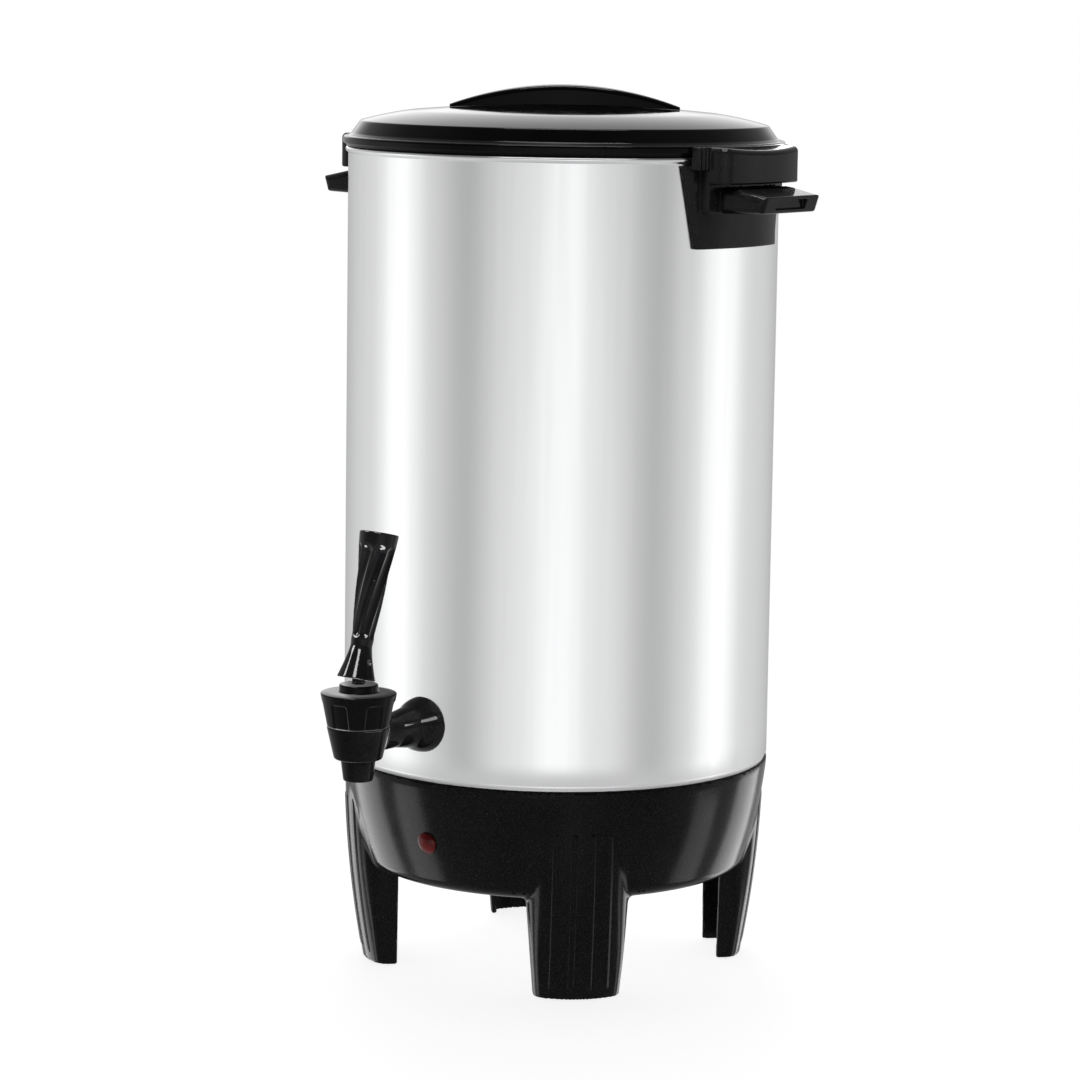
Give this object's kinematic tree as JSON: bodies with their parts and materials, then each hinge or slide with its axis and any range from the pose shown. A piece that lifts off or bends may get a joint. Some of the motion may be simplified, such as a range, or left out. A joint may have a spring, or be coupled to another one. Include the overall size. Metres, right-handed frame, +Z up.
{
  "type": "coffee urn",
  "caption": "Percolator coffee urn: polished steel tank with domed lid, lever tap, side grips and a legged black base; lid, brewing parts and tap lever move.",
  "frame": {"origin": "on the tank's axis, at the height of the legs' feet", "axes": "+Z up; -Y towards the tap; +X and -X towards the two handles"},
  "size_m": [0.308, 0.3168, 0.4937],
  "materials": {
    "tank_steel": "mirror polished",
    "base_black": "gloss, fine speckle",
    "cover_steel": "satin",
    "lens_red": "clear red",
    "lamp_glass": "clear",
    "spring_steel": "bright",
    "inlet_black": "matte",
    "fastener_steel": "zinc plated",
    "strap_steel": "zinc plated",
    "shield_aluminium": "mill",
    "element_steel": "heat tinted",
    "thermostat_body": "matte",
    "fuse_metal": "satin",
    "lead_sleeve": "sleeved",
    "tap_black": "satin",
    "seal_rubber": "matte",
    "nut_black": "matte",
    "handle_black": "satin",
    "screw_steel": "bright",
    "stem_steel": "bright",
    "stem_black": "satin",
    "cup_silicone": "matte",
    "lever_black": "gloss",
    "lid_black": "high gloss",
    "brew_aluminium": "satin"
  },
  "bodies": {
    "urn": {"tank_shell": "tank_steel", "base_housing": "base_black", "bottom_cover": "cover_steel", "indicator_lens": "lens_red", "indicator_lamp": "lamp_glass", "lens_clip": "spring_steel", "power_inlet": "inlet_black", "centre_stud": "fastener_steel", "element_strap": "strap_steel", "stud_nuts": "fastener_steel", "shield_spacer": "fastener_steel", "heat_shield": "shield_aluminium", "element_plate": "shield_aluminium", "brew_element": "element_steel", "keep_warm_element": "element_steel", "thermostat": "thermostat_body", "thermal_fuse": "fuse_metal", "holding_clips": "spring_steel", "internal_leads": "lead_sleeve", "tap_body": "tap_black", "tap_bonnet": "tap_black", "tap_washer_outer": "seal_rubber", "tap_washer_inner": "seal_rubber", "tap_nut": "nut_black", "handle_right": "handle_black", "handle_left": "handle_black", "handle_screws_right": "screw_steel", "handle_screws_left": "screw_steel", "handle_washers_right": "seal_rubber", "handle_washers_left": "seal_rubber"},
    "tap_valve": {"tap_stem": "stem_black", "tap_seat_cup": "cup_silicone"},
    "tap_lever": {"tap_lever": "lever_black", "lever_pin": "stem_steel"},
    "lid": {"lid_shell": "lid_black", "lid_knob": "lid_black", "knob_screws": "screw_steel"},
    "riser": {"pump_tube": "brew_aluminium", "pump_guide": "brew_aluminium"},
    "pump_washer": {"pump_washer": "brew_aluminium"},
    "basket": {"basket": "brew_aluminium"},
    "spreader": {"basket_cover": "brew_aluminium"}
  },
  "joints": [
    {"name": "stem_lift", "type": "slide", "parent": "urn", "child": "tap_valve", "axis": [0, 0, 1], "range_m": [0, 0.0041]},
    {"name": "lever_pull", "type": "hinge", "parent": "tap_valve", "child": "tap_lever", "pos_m": [0, -0.174, 0.19146], "axis": [1, 0, 0], "range_deg": [0, 38], "stiffness_Nm_per_rad": 0.3},
    {"name": "lid_lift", "type": "slide", "parent": "urn", "child": "lid", "axis": [0, 0, 1], "range_m": [0, 0.56]},
    {"name": "riser_lift", "type": "slide", "parent": "urn", "child": "riser", "axis": [0, 0, 1], "range_m": [0, 0.3641]},
    {"name": "basket_lift", "type": "slide", "parent": "riser", "child": "basket", "axis": [0, 0, 1], "range_m": [0, 0.1233]},
    {"name": "spreader_lift", "type": "slide", "parent": "basket", "child": "spreader", "axis": [0, 0, 1], "range_m": [0, 0.0393]},
    {"name": "washer_lift", "type": "slide", "parent": "riser", "child": "pump_washer", "axis": [0, 0, 1], "range_m": [0, 0.003]}
  ],
  "couplings": [
    {"joint": "stem_lift", "follows": "lever_pull", "m_per_rad": 0.006031},
    {"joint": "riser_lift", "follows": "lid_lift", "ratio": 0.65},
    {"joint": "basket_lift", "follows": "lid_lift", "ratio": 0.22},
    {"joint": "spreader_lift", "follows": "lid_lift", "ratio": 0.07}
  ]
}
